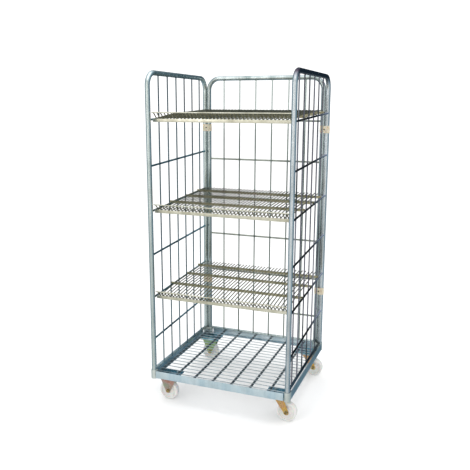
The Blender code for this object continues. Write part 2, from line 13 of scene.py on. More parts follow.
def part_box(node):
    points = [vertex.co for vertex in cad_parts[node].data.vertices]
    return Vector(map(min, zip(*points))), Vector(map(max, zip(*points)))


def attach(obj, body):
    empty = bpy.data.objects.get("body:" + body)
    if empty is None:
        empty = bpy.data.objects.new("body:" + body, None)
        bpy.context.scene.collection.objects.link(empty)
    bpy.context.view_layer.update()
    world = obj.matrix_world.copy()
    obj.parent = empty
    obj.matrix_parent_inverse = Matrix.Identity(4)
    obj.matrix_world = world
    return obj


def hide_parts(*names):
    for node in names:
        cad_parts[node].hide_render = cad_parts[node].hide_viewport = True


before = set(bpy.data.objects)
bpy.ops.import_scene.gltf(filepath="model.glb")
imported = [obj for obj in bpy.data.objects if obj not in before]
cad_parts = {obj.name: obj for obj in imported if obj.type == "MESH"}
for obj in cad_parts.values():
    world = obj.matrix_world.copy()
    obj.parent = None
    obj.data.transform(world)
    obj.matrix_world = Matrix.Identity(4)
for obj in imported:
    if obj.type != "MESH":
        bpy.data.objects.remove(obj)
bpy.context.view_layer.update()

CORNERS = ("front_left", "front_right", "rear_left", "rear_right")
FIT = 0.0003
SAME_POINT = 0.000002

# Wire and tube of the panels
TUBE_R = 0.0125
BEND_R = 0.065
UPRIGHT_R = 0.0035
ROD_R = 0.005
FOOT_BAR_R = 0.007
UPRIGHTS = 6
RODS = 6
ROD_PITCH = 0.225
SIDE_ROD_TOP = 1.4715
SIDE_ROD_RISE = 0.033
BACK_ROD_TOP = 1.4615
ROD_OUTSET = 0.0015
UPRIGHT_INSET = 0.0065
WELD = 0.0016
TOP_WELD_DEPTH = 0.0008
ROD_WELD_DEPTH = 0.0010

# Base
RAIL_THICK = 0.003
RAIL_CORNER_RADII = (0.0035, 0.0008, 0.0008, 0.0012, 0.0008, 0.0008)
SOCKET_FLOOR = 0.003

# Shelves, in their own level frame
SHELF_WIRE_R = 0.0027
SHELF_BAR = (0.006, 0.010)
SHELF_BAR_Y = (-0.115, 0.068, 0.234)
SHELF_FRONT_Y = -0.305
SHELF_FRONT_DROP = 0.0115
SHELF_FRONT_REACH = 0.3585
SHELF_FRONT_DEPTH = 0.016
SHELF_NOTCH_X = 0.356
SHELF_NOTCH_DEPTH = 0.004
SHELF_WIRES = 37
SHELF_PITCH = 0.0188
SHELF_REAR_Y = 0.290
SHELF_BEND_Y = -0.306
SHELF_LIP_Y = -0.333
SHELF_LIP_RISE = 0.027
SHELF_LIP_REACH = 0.350
SHELF_LIP_WIRE_LIFT = 0.0045
SHELF_BEND_R = 0.009
SHELF_BAR_SINK = 0.0005

# Deck
DECK_BARS = 7
DECK_BAR = (0.010, 0.008)
DECK_FIRST_X = -0.338
DECK_BAR_PITCH = 0.1013
DECK_WIRES = 19
DECK_WIRE_PITCH = 0.037
DECK_WIRE_R = 0.002

# Clips
CLIP_RIB = 0.0006
CLIP_GROOVE = 0.0018
CLIP_GROOVE_X = 0.0068
CLIP_GROOVE_WIDE = 0.0017

# Casters
BOLT_OFFSETS = (0.036, 0.030)
BOLT_ACROSS = 0.0115
WASHER_THICK = 0.0014
PLATE_STACK = 0.0033
LEG_THICK = 0.003
LEG_END_R = 0.014
LEG_INNER_Y = 0.019
LEG_BEND = 0.004
FIXED_LEG_HALF = 0.0495
SWIVEL_LEG_X = (-0.030, 0.020)
# Pressed ribs of the legs: place along X, half width and height
FIXED_RIB = (0.007, 0.0045, 0.0022)
SWIVEL_RIB = (0.0, 0.006, 0.0016)


# ---- mesh helpers


def box_centre(node):
    low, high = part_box(node)
    return (low + high) / 2


def finish_mesh(name, bm, material, smooth=40, bevel=0.0):
    """One piece from a bmesh, smooth shaded, with an optional rounding of its sharp edges."""
    bmesh.ops.recalc_face_normals(bm, faces=bm.faces)
    mesh = bpy.data.meshes.new(name)
    bm.to_mesh(mesh)
    bm.free()
    piece = bpy.data.objects.new(name, mesh)
    bpy.context.scene.collection.objects.link(piece)
    mesh.materials.append(material)
    if bevel:
        rounding = piece.modifiers.new("rounding", "BEVEL")
        rounding.width = bevel
        rounding.segments = 2
        rounding.limit_method = "ANGLE"
        rounding.angle_limit = math.radians(35)
        rounding.harden_normals = True
    mesh.shade_smooth()
    mesh.set_sharp_from_angle(angle=math.radians(smooth))
    return piece


def add_rings(bm, rings, closed=True, caps=True):
    """Skin a list of equal point rings, with a flat cap on each end."""
    made = [[bm.verts.new(point) for point in ring] for ring in rings]
    count = len(rings[0])
    steps = count if closed else count - 1
    for first, second in zip(made, made[1:]):
        for index in range(steps):
            after = (index + 1) % count
            bm.faces.new((first[index], first[after], second[after], second[index]))
    if caps:
        bm.faces.new(list(reversed(made[0])))
        bm.faces.new(made[-1])


def end_stations(end, direction, radius, widen, dome):
    """The (point, radius) stations at one end of a wire: a weld bead, a dome or a plain cut."""
    if widen:
        steps = [(0.0, widen), (0.4 * widen, 0.85 * widen), (0.9 * widen, 0.45 * widen), (1.6 * widen, 0.0)]
        return [(end + direction * along, radius + extra) for along, extra in steps]
    if dome:
        steps = [(0, 0.55), (0.12, 0.83), (0.4, 1.0)]
        return [(end + direction * radius * along, radius * share) for along, share in steps]
    return [(end, radius)]


def add_wire(bm, path, radius, sides=12, flare=(0.0, 0.0), dome=True):
    """A round wire along a path. flare widens each end into a weld bead, and dome rounds off the ends."""
    path = [Vector(point) for point in path]
    start_dir = (path[1] - path[0]).normalized()
    end_dir = (path[-1] - path[-2]).normalized()
    first = end_stations(path[0], start_dir, radius, flare[0], dome)
    last = end_stations(path[-1], -end_dir, radius, flare[1], dome)
    route = first + [(point, radius) for point in path[1:-1]] + list(reversed(last))
    normal = start_dir.orthogonal().normalized()
    rings = []
    for index, (point, size) in enumerate(route):
        before = route[max(index - 1, 0)][0]
        after = route[min(index + 1, len(route) - 1)][0]
        tangent = (after - before).normalized()
        normal = (normal - tangent * normal.dot(tangent)).normalized()
        side = tangent.cross(normal)
        ring = []
        for step in range(sides):
            angle = 2 * math.pi * step / sides
            ring.append(point + (normal * math.cos(angle) + side * math.sin(angle)) * size)
        rings.append(ring)
    add_rings(bm, rings)


def arc_points(centre, radius, start, end, steps):
    """2D points on an arc between two angles in degrees."""
    points = []
    for index in range(steps + 1):
        angle = math.radians(start + (end - start) * index / steps)
        points.append((centre[0] + radius * math.cos(angle), centre[1] + radius * math.sin(angle)))
    return points


def add_prism(bm, outline, low, high, place=Matrix.Identity(4)):
    """A straight prism on a 2D outline, between two heights."""
    rings = [[place @ Vector((x, y, z)) for x, y in outline] for z in (low, high)]
    add_rings(bm, rings)


def add_turned(bm, profile, place, steps=48, closed=False):
    """A turned shape about the local Z axis.

    A closed profile makes a ring, and an open one starts and ends on the axis.
    """
    count = len(profile)
    columns = []
    for step in range(steps):
        angle = 2 * math.pi * step / steps
        spin = Vector((math.cos(angle), math.sin(angle)))
        columns.append([bm.verts.new(place @ Vector((spin.x * r, spin.y * r, z))) for r, z in profile])
    spans = count if closed else count - 1
    for step in range(steps):
        first = columns[step]
        second = columns[(step + 1) % steps]
        for index in range(spans):
            after = (index + 1) % count
            bm.faces.new((first[index], second[index], second[after], first[after]))
    if not closed:
        bmesh.ops.remove_doubles(bm, verts=bm.verts, dist=SAME_POINT)


def rounded(profile, radius, steps=3):
    """The profile with its corners cut back into short arcs."""
    points = []
    count = len(profile)
    for index in range(count):
        corner = Vector(profile[index])
        back = Vector(profile[index - 1]) - corner
        ahead = Vector(profile[(index + 1) % count]) - corner
        reach = min(radius, back.length * 0.45, ahead.length * 0.45)
        start = corner + back.normalized() * reach
        end = corner + ahead.normalized() * reach
        for step in range(steps + 1):
            t = step / steps
            mixed = start * (1 - t) ** 2 + corner * 2 * t * (1 - t) + end * t * t
            points.append(tuple(mixed))
    return points


def rounded_plate(half, radius, steps):
    """Outline of a rectangular plate with rounded corners, from its half sizes."""
    corners = [(-half.x, -half.y), (half.x, -half.y), (half.x, half.y), (-half.x, half.y)]
    return rounded(corners, radius, steps)


def stadium(radius, half, across=()):
    """Outline about two centres, half either side along X. across is the far side's points between them."""
    right = arc_points((half, 0), radius, -90, 90, 16)
    left = arc_points((-half, 0), radius, 90, 270, 16)
    return [*right, *across, *left, *((-x, -y) for x, y in across)]


def add_band(bm, profile, outline_at, centre):
    """A closed (radius, height) profile carried round the outline that outline_at gives for each radius."""
    rings = [[centre + Vector((x, y, z)) for x, y in outline_at(radius)] for radius, z in profile]
    add_rings(bm, rings + rings[:1], caps=False)
    bmesh.ops.remove_doubles(bm, verts=bm.verts, dist=SAME_POINT)


# ---- materials


def colour_sockets(sockets):
    return [socket for socket in sockets if socket.type == "RGBA"]


def set_stops(ramp, stops):
    """Give a colour ramp its (place, colour) stops."""
    while len(ramp.elements) < len(stops):
        ramp.elements.new(0.5)
    for element, (place_at, colour) in zip(ramp.elements, stops):
        element.position = place_at
        element.color = (*colour, 1.0)


class Nodes:
    """A short way to write a node tree."""

    def __init__(self, name):
        self.material = bpy.data.materials.new(name)
        self.material.use_nodes = True
        self.tree = self.material.node_tree
        self.shader = self.tree.nodes["Principled BSDF"]
        self.where = self.add("ShaderNodeTexCoord").outputs["Object"]

    def add(self, kind, **settings):
        node = self.tree.nodes.new(kind)
        for key, value in settings.items():
            setattr(node, key, value)
        return node

    def link(self, source, target):
        self.tree.links.new(source, target)

    def set(self, **values):
        for key, value in values.items():
            self.shader.inputs[key.replace("_", " ")].default_value = value

    def noise(self, scale, detail=3.0, rough=0.5, stretch=None, distortion=0.0):
        """A noise value. scale is in cycles per metre, and stretch scales the axes first."""
        node = self.add("ShaderNodeTexNoise")
        node.inputs["Scale"].default_value = scale
        node.inputs["Detail"].default_value = detail
        node.inputs["Roughness"].default_value = rough
        node.inputs["Distortion"].default_value = distortion
        source = self.where
        if stretch:
            mapping = self.add("ShaderNodeMapping")
            mapping.inputs["Scale"].default_value = stretch
            self.link(self.where, mapping.inputs["Vector"])
            source = mapping.outputs["Vector"]
        self.link(source, node.inputs["Vector"])
        return node.outputs["Fac"]

    def ramp(self, value, stops):
        node = self.add("ShaderNodeValToRGB")
        set_stops(node.color_ramp, stops)
        self.link(value, node.inputs["Fac"])
        return node.outputs["Color"]

    def spread(self, value, low, high, start=0.3, end=0.7):
        """The value's range from start to end carried to low..high."""
        node = self.add("ShaderNodeMapRange")
        node.inputs["From Min"].default_value = start
        node.inputs["From Max"].default_value = end
        node.inputs["To Min"].default_value = low
        node.inputs["To Max"].default_value = high
        self.link(value, node.inputs["Value"])
        return node.outputs["Result"]

    def mix(self, amount, first, second, mode="MIX"):
        node = self.add("ShaderNodeMix", data_type="RGBA", blend_type=mode)
        sockets = colour_sockets(node.inputs)
        if isinstance(amount, float):
            node.inputs["Factor"].default_value = amount
        else:
            self.link(amount, node.inputs["Factor"])
        for socket, value in zip(sockets, (first, second)):
            if isinstance(value, tuple):
                socket.default_value = (*value, 1.0)
            else:
                self.link(value, socket)
        return colour_sockets(node.outputs)[0]

    def bump(self, height, distance, strength=1.0, over=None):
        node = self.add("ShaderNodeBump")
        node.inputs["Distance"].default_value = distance
        node.inputs["Strength"].default_value = strength
        self.link(height, node.inputs["Height"])
        if over:
            self.link(over, node.inputs["Normal"])
        return node.outputs["Normal"]

    def colour(self, source):
        self.link(source, self.shader.inputs["Base Color"])

    def roughness(self, source):
        self.link(source, self.shader.inputs["Roughness"])

    def normal(self, source):
        self.link(source, self.shader.inputs["Normal"])

    def edges(self, width, start, end):
        """0 on flat ground rising to 1 along sharp convex edges, for wear."""
        node = self.add("ShaderNodeBevel")
        node.samples = 4
        node.inputs["Radius"].default_value = width
        geometry = self.add("ShaderNodeNewGeometry")
        dot = self.add("ShaderNodeVectorMath", operation="DOT_PRODUCT")
        self.link(node.outputs["Normal"], dot.inputs[0])
        self.link(geometry.outputs["Normal"], dot.inputs[1])
        return self.spread(dot.outputs["Value"], 1.0, 0.0, start, end)


def zinc(name, light, tint, dark, smooth, rough, metallic=1.0, along=(1.0, 1.0, 0.12), turn=None):
    """Bright zinc plate: a drifting tint, drawn streaks, spangle and dull scuffs.

    along stretches the drift along the length of the metal.
    turn is (axis, start, end, colour): the tint turns to that colour from start to end along the axis,
    which paints shade or a highlight onto one end of a part.
    """
    n = Nodes(name)
    drift = n.noise(23.0, 3.0, 0.55, stretch=along)
    cloud = n.noise(14.0, 4.0, 0.6)
    fine = n.noise(620.0, 3.0, 0.6)
    streaks = n.noise(700.0, 2.0, 0.5, stretch=tuple(0.3 * axis if axis < 1 else axis for axis in along))
    body = n.ramp(drift, [(0.32, dark), (0.50, tint), (0.66, light)])
    # Painted shade or highlight: the colour turns along one axis towards the turn colour.
    if turn:
        axis, start, end, colour = turn
        split = n.add("ShaderNodeSeparateXYZ")
        n.link(n.where, split.inputs["Vector"])
        body = n.mix(n.spread(split.outputs[axis], 0.0, 1.0, start, end), body, colour)
    speck = n.ramp(fine, [(0.32, (0.88, 0.90, 0.92)), (0.60, (1.0, 1.0, 1.0))])
    dull = n.ramp(cloud, [(0.34, (0.86, 0.87, 0.86)), (0.58, (1.0, 1.0, 1.0))])
    n.colour(n.mix(1.0, n.mix(1.0, body, speck, "MULTIPLY"), dull, "MULTIPLY"))
    n.set(Metallic=metallic)
    total = n.add("ShaderNodeMath", operation="ADD")
    n.link(n.spread(cloud, rough, smooth), total.inputs[0])
    n.link(n.spread(streaks, -0.03, 0.04), total.inputs[1])
    n.roughness(total.outputs["Value"])
    n.normal(n.bump(fine, 0.00002, 0.15, n.bump(streaks, 0.00002, 0.15)))
    return n.material


def gold_zinc(name, film_stops, scale=16.0):
    """Passivated steel: patches of an interference film, with handling marks and rubbed edges."""
    n = Nodes(name)
    patches = n.noise(scale, 2.0, 0.5, distortion=0.6)
    fine = n.noise(220.0, 4.0, 0.6)
    film = n.ramp(patches, film_stops)
    grime = n.ramp(fine, [(0.35, (0.72, 0.66, 0.56)), (0.62, (1.0, 1.0, 1.0))])
    worn = n.mix(n.edges(0.0012, 0.90, 0.995), n.mix(1.0, film, grime, "MULTIPLY"), (0.70, 0.64, 0.50))
    n.colour(worn)
    n.set(Metallic=0.92)
    n.roughness(n.spread(fine, 0.24, 0.42))
    n.normal(n.bump(fine, 0.00006, 0.4))
    return n.material


def shelf_finish(name, dark, tint, light):
    """The shelves' warm bright plate, from cream to olive."""
    n = Nodes(name)
    patches = n.noise(22.0, 4.0, 0.6)
    fine = n.noise(320.0, 2.0, 0.5)
    body = n.ramp(patches, [(0.32, dark), (0.50, tint), (0.68, light)])
    speck = n.ramp(fine, [(0.35, (0.84, 0.82, 0.78)), (0.65, (1.0, 1.0, 1.0))])
    n.colour(n.mix(1.0, body, speck, "MULTIPLY"))
    n.set(Metallic=0.85)
    n.roughness(n.spread(patches, 0.40, 0.26))
    n.normal(n.bump(fine, 0.00004, 0.4))
    return n.material


def nylon():
    """Natural nylon: milky, slightly yellowed, with fine scuffs and dirt on the tread."""
    n = Nodes("nylon_finish")
    cloud = n.noise(30.0, 4.0, 0.5)
    scuff = n.noise(420.0, 5.0, 0.7)
    tones = [(0.30, (0.60, 0.595, 0.56)), (0.55, (0.67, 0.665, 0.64)), (0.75, (0.72, 0.715, 0.70))]
    body = n.ramp(cloud, tones)
    marks = n.ramp(scuff, [(0.30, (0.80, 0.78, 0.74)), (0.42, (1.0, 1.0, 1.0))])
    n.colour(n.mix(0.6, body, marks, "MULTIPLY"))
    n.set(Subsurface_Weight=0.25, Subsurface_Scale=0.006, Coat_Weight=0.08)
    n.roughness(n.spread(scuff, 0.34, 0.52))
    n.normal(n.bump(scuff, 0.00005, 0.35))
    return n.material


def clip_plastic():
    """Cream moulded plastic with a fine texture and rubbed edges."""
    n = Nodes("clip_plastic_finish")
    cloud = n.noise(60.0, 3.0, 0.5)
    grain = n.noise(900.0, 2.0, 0.6)
    tones = [(0.30, (0.50, 0.43, 0.31)), (0.55, (0.58, 0.51, 0.38)), (0.75, (0.64, 0.58, 0.46))]
    body = n.ramp(cloud, tones)
    n.colour(n.mix(n.edges(0.001, 0.88, 0.99), body, (0.74, 0.69, 0.58)))
    n.set(Subsurface_Weight=0.15, Subsurface_Scale=0.003)
    n.roughness(n.spread(cloud, 0.40, 0.55))
    n.normal(n.bump(grain, 0.00005, 0.5))
    return n.material


def steel(name, dark, light):
    """Plain turned steel with fine rings of tool marks."""
    n = Nodes(name)
    cloud = n.noise(90.0, 4.0, 0.6)
    lathe = n.noise(900.0, 2.0, 0.5, stretch=(0.05, 0.05, 1.0))
    n.colour(n.ramp(cloud, [(0.3, dark), (0.7, light)]))
    n.set(Metallic=1.0)
    n.roughness(n.spread(cloud, 0.24, 0.42))
    n.normal(n.bump(lathe, 0.00004, 0.4))
    return n.material


ALONG_Y = (1.0, 0.12, 1.0)
ZINC_TUBE = zinc(
    "zinc_tube_finish", (0.74, 0.79, 0.78), (0.64, 0.69, 0.67), (0.50, 0.56, 0.55),
    smooth=0.20, rough=0.30,
)
# The right side tube: its top is turned near-black, a painted dark reflection of the room beside the cage.
RIGHT_TUBE = zinc(
    "right_tube_finish", (0.74, 0.77, 0.80), (0.64, 0.67, 0.69), (0.50, 0.53, 0.56),
    smooth=0.20, rough=0.30, turn=("Z", 1.652, 1.692, (0.07, 0.045, 0.07)),
)
BACK_TUBE = zinc(
    "back_tube_finish", (0.66, 0.70, 0.68), (0.52, 0.56, 0.55), (0.34, 0.40, 0.39),
    smooth=0.16, rough=0.26,
)
SLATE_WIRE = zinc(
    "slate_wire_finish", (0.16, 0.24, 0.28), (0.09, 0.15, 0.19), (0.04, 0.08, 0.11),
    smooth=0.22, rough=0.38,
)
MIXED_WIRE = zinc(
    "mixed_wire_finish", (0.40, 0.38, 0.43), (0.24, 0.22, 0.27), (0.02, 0.04, 0.04),
    smooth=0.22, rough=0.38,
)
# The back uprights: darker low down and paler towards the top, painted shade below the top shelf and
# painted light above it.
BACK_WIRE = zinc(
    "back_wire_finish", (0.22, 0.27, 0.24), (0.14, 0.18, 0.16), (0.06, 0.09, 0.08),
    smooth=0.35, rough=0.50, metallic=0.40, turn=("Z", 1.35, 1.55, (0.55, 0.62, 0.58)),
)
# The left side rods: dark teal, partly the wire's blue zinc and partly painted dark reflection.
TEAL_ROD = zinc(
    "teal_rod_finish", (0.22, 0.42, 0.50), (0.13, 0.29, 0.35), (0.02, 0.07, 0.08),
    smooth=0.26, rough=0.38, metallic=0.85, along=(1.0, 0.3, 1.0),
)
# The right side rods: near-black as a painted dark reflection, turning pale towards the rear as a painted
# highlight.
DARK_ROD = zinc(
    "dark_rod_finish", (0.05, 0.035, 0.04), (0.01, 0.008, 0.008), (0.006, 0.005, 0.005),
    smooth=0.30, rough=0.40, along=ALONG_Y, turn=("Y", 0.02, 0.32, (0.62, 0.58, 0.68)),
)
PALE_ROD = zinc(
    "pale_rod_finish", (0.42, 0.44, 0.38), (0.34, 0.36, 0.31), (0.18, 0.20, 0.16),
    smooth=0.35, rough=0.50, metallic=0.40, along=(0.5, 1.0, 1.0),
)
# The right foot bar: near-black, a painted dark reflection; the left and back foot bars are the plain tube
# zinc.
DARK_BAR = zinc(
    "dark_foot_bar_finish", (0.10, 0.13, 0.16), (0.05, 0.06, 0.08), (0.02, 0.03, 0.04),
    smooth=0.14, rough=0.24, along=ALONG_Y,
)
DECK_BAR_ZINC = zinc(
    "deck_bar_finish", (0.26, 0.28, 0.29), (0.17, 0.19, 0.20), (0.08, 0.10, 0.13),
    smooth=0.25, rough=0.42, along=ALONG_Y,
)
DECK_WIRE_ZINC = zinc(
    "deck_wire_finish", (0.70, 0.74, 0.76), (0.56, 0.60, 0.63), (0.42, 0.47, 0.50),
    smooth=0.25, rough=0.40, along=(0.12, 1.0, 1.0),
)
ZINC_RAIL = zinc(
    "zinc_rail_finish", (0.76, 0.85, 0.90), (0.69, 0.80, 0.86), (0.56, 0.70, 0.78),
    smooth=0.30, rough=0.45,
)
ZINC_CUP = zinc(
    "zinc_cup_finish", (0.78, 0.80, 0.76), (0.68, 0.71, 0.67), (0.56, 0.60, 0.57),
    smooth=0.40, rough=0.55, metallic=0.75,
)
ZINC_BLUE = zinc(
    "zinc_plate_finish", (0.72, 0.90, 1.00), (0.26, 0.56, 0.70), (0.02, 0.12, 0.16),
    smooth=0.16, rough=0.32, along=(0.6, 1.0, 1.0),
)
GOLD = gold_zinc(
    "gold_zinc_finish",
    [
        (0.30, (0.55, 0.50, 0.30)),
        (0.42, (0.70, 0.50, 0.18)),
        (0.54, (0.72, 0.44, 0.13)),
        (0.64, (0.66, 0.38, 0.22)),
        (0.76, (0.62, 0.48, 0.16)),
    ],
)
ROSE = gold_zinc(
    "rose_zinc_finish",
    [
        (0.30, (0.40, 0.44, 0.34)),
        (0.42, (0.46, 0.40, 0.34)),
        (0.54, (0.54, 0.36, 0.33)),
        (0.66, (0.52, 0.28, 0.22)),
        (0.78, (0.50, 0.38, 0.18)),
    ],
)
GREEN_GOLD = gold_zinc(
    "green_zinc_finish",
    [
        (0.30, (0.22, 0.40, 0.34)),
        (0.44, (0.26, 0.42, 0.24)),
        (0.56, (0.30, 0.42, 0.20)),
        (0.68, (0.44, 0.46, 0.20)),
        (0.80, (0.50, 0.44, 0.18)),
    ],
)
NUT_GOLD = gold_zinc(
    "nut_zinc_finish",
    [
        (0.30, (0.16, 0.11, 0.03)),
        (0.45, (0.34, 0.24, 0.06)),
        (0.60, (0.50, 0.36, 0.10)),
        (0.75, (0.40, 0.32, 0.12)),
    ],
    60.0,
)
# Lit and shaded copies of one warm plate: the wires darkest as painted shade, the front bar and lip wire
# palest as painted light, the bars between.
SHELF = shelf_finish("shelf_wire_finish", (0.15, 0.125, 0.07), (0.26, 0.23, 0.14), (0.40, 0.36, 0.24))
SHELF_BARS = shelf_finish("shelf_bar_finish", (0.31, 0.285, 0.18), (0.42, 0.39, 0.26), (0.54, 0.50, 0.36))
SHELF_FRONT = shelf_finish("shelf_front_finish", (0.56, 0.53, 0.42), (0.68, 0.65, 0.53), (0.80, 0.77, 0.66))
NYLON = nylon()
CREAM = clip_plastic()
STEEL = steel("steel_finish", (0.36, 0.36, 0.37), (0.60, 0.60, 0.60))
SCREW_STEEL = steel("screw_finish", (0.06, 0.06, 0.06), (0.16, 0.15, 0.14))


def place(piece, body, slot, *nodes):
    """Hang a finished piece on its body, in place of the CAD nodes it stands for."""
    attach(piece, body)
    if nodes:
        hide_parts(*nodes)
    return piece


# ---- panels

SHIFT_X = box_centre("rail_front").x
PANEL_X = box_centre("side_frame_right").x - SHIFT_X
TOP_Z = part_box("side_frame_right")[1].z - TUBE_R
POST_FOOT_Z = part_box("side_frame_right")[0].z
PANEL_Y = box_centre("back_frame").y
BACK_HALF = (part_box("back_frame")[1].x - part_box("back_frame")[0].x) / 2 - TUBE_R
FOOT_BAR_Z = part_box("back_grid")[0].z + FOOT_BAR_R


def panel_place(side):
    """Local X of a panel runs along it, and local Y is its normal."""
    if side == 0:
        return Matrix.Translation((SHIFT_X, PANEL_Y, 0))
    return Matrix.Translation((SHIFT_X + side * PANEL_X, 0, 0)) @ Matrix.Rotation(math.pi / 2, 4, "Z")


def frame_tube(name, node, side, half, finish):
    """The panel's bent tube, an upside-down U."""
    bend = BEND_R
    left = arc_points((bend - half, TOP_Z - bend), bend, 180, 90, 14)
    right = arc_points((half - bend, TOP_Z - bend), bend, 90, 0, 14)
    legs = [(-half, POST_FOOT_Z), *left, *right, (half, POST_FOOT_Z)]
    where = panel_place(side)
    bm = bmesh.new()
    add_wire(bm, [where @ Vector((x, 0, z)) for x, z in legs], TUBE_R, sides=36, dome=False)
    place(finish_mesh(name, bm, finish, smooth=50), "cage", "zinc_tube", node)


def panel_wires(name, node, side, half, outward, rod_top, rise, finishes):
    """Uprights and cross rods, each with weld beads at its ends, and the foot bar between the sockets."""
    upright_finish, rod_finish, bar_finish = finishes
    where = panel_place(side)
    bm = bmesh.new()
    top = TOP_Z - TUBE_R + TOP_WELD_DEPTH
    for index in range(1, UPRIGHTS + 1):
        x = -half + 2 * half * index / (UPRIGHTS + 1)
        y = -outward * UPRIGHT_INSET
        ends = [where @ Vector((x, y, z)) for z in (FOOT_BAR_Z, top)]
        add_wire(bm, ends, UPRIGHT_R, sides=14, flare=(WELD, WELD))
    place(finish_mesh(f"{name}_uprights", bm, upright_finish, smooth=60), "cage", "zinc_tube", node)
    bm = bmesh.new()
    reach = half - TUBE_R + ROD_WELD_DEPTH
    for index in range(RODS):
        z = rod_top - index * ROD_PITCH
        y = outward * ROD_OUTSET
        low = z + rise * (half - reach) / (2 * half)
        high = z + rise * (half + reach) / (2 * half)
        ends = [where @ Vector((-reach, y, low)), where @ Vector((reach, y, high))]
        add_wire(bm, ends, ROD_R, sides=14, flare=(WELD, WELD))
    place(finish_mesh(f"{name}_rods", bm, rod_finish, smooth=60), "cage", "zinc_tube")
    bm = bmesh.new()
    low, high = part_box(node)
    size = high - low
    reach = (size.x if side == 0 else size.y) / 2
    add_wire(bm, [where @ Vector((x, 0, FOOT_BAR_Z)) for x in (-reach, reach)], FOOT_BAR_R, sides=20)
    place(finish_mesh(f"{name}_foot_bar", bm, bar_finish), "cage", "zinc_tube")


def build_panels():
    """The two side panels and the back panel, each with its own finishes: painted dark reflection on the
    right panel and painted shade low on the back uprights.
    """
    left = (SLATE_WIRE, TEAL_ROD, ZINC_TUBE)
    # The right panel's rods and foot bar are dark copies of the zinc: painted dark reflection.
    right = (MIXED_WIRE, DARK_ROD, DARK_BAR)
    for word, side, tube, looks in (("left", -1, ZINC_TUBE, left), ("right", 1, RIGHT_TUBE, right)):
        frame_tube(f"side_tube_{word}", f"side_frame_{word}", side, PANEL_Y, tube)
        grid = f"side_grid_{word}"
        panel_wires(f"side_{word}", grid, side, PANEL_Y, -side, SIDE_ROD_TOP, SIDE_ROD_RISE, looks)
    frame_tube("back_tube", "back_frame", 0, BACK_HALF, BACK_TUBE)
    looks = (BACK_WIRE, PALE_ROD, ZINC_TUBE)
    panel_wires("back", "back_grid", 0, BACK_HALF, 1, BACK_ROD_TOP, 0.0, looks)


# ---- base


def rail_section(height, flange, thick):
    """Angle section with a rounded heel: the upright leg faces +X and the flange points to -X."""
    sharp = [(0, 0), (0, height), (-thick, height), (-thick, thick), (-flange, thick), (-flange, 0)]
    section = []
    for index, radius in enumerate(RAIL_CORNER_RADII):
        corner = Vector(sharp[index])
        back = (Vector(sharp[index - 1]) - corner).normalized() * radius
        ahead = (Vector(sharp[(index + 1) % len(sharp)]) - corner).normalized() * radius
        for step in range(4):
            t = step / 3
            start = (corner + back) * (1 - t) ** 2
            section.append(tuple(start + corner * 2 * t * (1 - t) + (corner + ahead) * t * t))
    return section


def build_rails():
    """The four rails of the base, as rolled angle with softened edges."""
    turns = {"right": 0.0, "rear": 0.5, "left": 1.0, "front": 1.5}
    for word, turn in turns.items():
        low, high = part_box(f"rail_{word}")
        size = high - low
        across = min(size.x, size.y)
        length = max(size.x, size.y)
        spin = Matrix.Rotation(turn * math.pi, 4, "Z")
        outward = spin @ Vector((1, 0, 0))
        middle = (low + high) / 2
        face = Vector((middle.x, middle.y, low.z)) + outward * across / 2
        stand = Matrix.Translation(face) @ spin @ Matrix.Rotation(math.pi / 2, 4, "X")
        bm = bmesh.new()
        add_prism(bm, rail_section(size.z, across, RAIL_THICK), -length / 2, length / 2, stand)
        piece = finish_mesh(f"base_rail_{word}", bm, ZINC_RAIL, smooth=30)
        place(piece, "cage", "zinc_rail", f"rail_{word}")


def build_sockets():
    """Pressed cups that the posts stand in."""
    bore = TUBE_R + FIT
    centre_hole = 0.001
    for corner in CORNERS:
        node = f"socket_{corner}"
        low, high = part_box(node)
        radius = (high.y - low.y) / 2
        half = (high.x - low.x) / 2 - radius
        tall = high.z - low.z
        outside = [(radius, 0), (radius, tall)]
        inside = [(bore, tall), (bore, SOCKET_FLOOR), (centre_hole, SOCKET_FLOOR), (centre_hole, 0)]
        bm = bmesh.new()
        middle = (low + high) / 2
        centre = Vector((middle.x, middle.y, low.z))
        add_band(bm, rounded(outside + inside, 0.0012), lambda r: stadium(r, half), centre)
        place(finish_mesh(f"cup_{corner}", bm, ZINC_CUP), "cage", "zinc_rail", node)


def build_deck():
    """Stout bars front to back with thin wires welded across them."""
    low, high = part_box("deck_grid")
    wide, tall = DECK_BAR
    bars = bmesh.new()
    for index in range(DECK_BARS):
        x = SHIFT_X + DECK_FIRST_X + index * DECK_BAR_PITCH
        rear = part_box("socket_rear_left")[0].y if index == 0 else high.y
        left = x - wide / 2
        right = x + wide / 2
        section = rounded([(left, 0), (right, 0), (right, tall), (left, tall)], 0.0018, 4)
        add_rings(bars, [[Vector((a, y, low.z + b)) for a, b in section] for y in (low.y, rear - FIT)])
    place(finish_mesh("deck_bars", bars, DECK_BAR_ZINC, smooth=30), "cage", "zinc_tube", "deck_grid")
    wires = bmesh.new()
    for index in range(DECK_WIRES):
        y = (index - (DECK_WIRES - 1) / 2) * DECK_WIRE_PITCH
        reach = (high.x - low.x) / 2
        if index == 0:
            reach = SHIFT_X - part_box("socket_front_left")[1].x - FIT
        if index == DECK_WIRES - 1:
            reach = SHIFT_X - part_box("socket_rear_left")[1].x - FIT
        ends = [(SHIFT_X + x, y, high.z - DECK_WIRE_R) for x in (-reach, reach)]
        add_wire(wires, ends, DECK_WIRE_R, sides=12)
    place(finish_mesh("deck_wires", wires, DECK_WIRE_ZINC), "cage", "zinc_tube")


def add_hex(bm, place_at, across, low, high):
    """A hexagon with its top edges chamfered."""
    radius = across / math.sqrt(3)
    chamfer = 0.001
    rings = []
    for size, z in ((radius, low), (radius, high - chamfer), (radius * 0.86, high)):
        ring = []
        for step in range(6):
            angle = math.pi / 3 * step
            ring.append(place_at @ Vector((size * math.cos(angle), size * math.sin(angle), z)))
        rings.append(ring)
    add_rings(bm, rings)


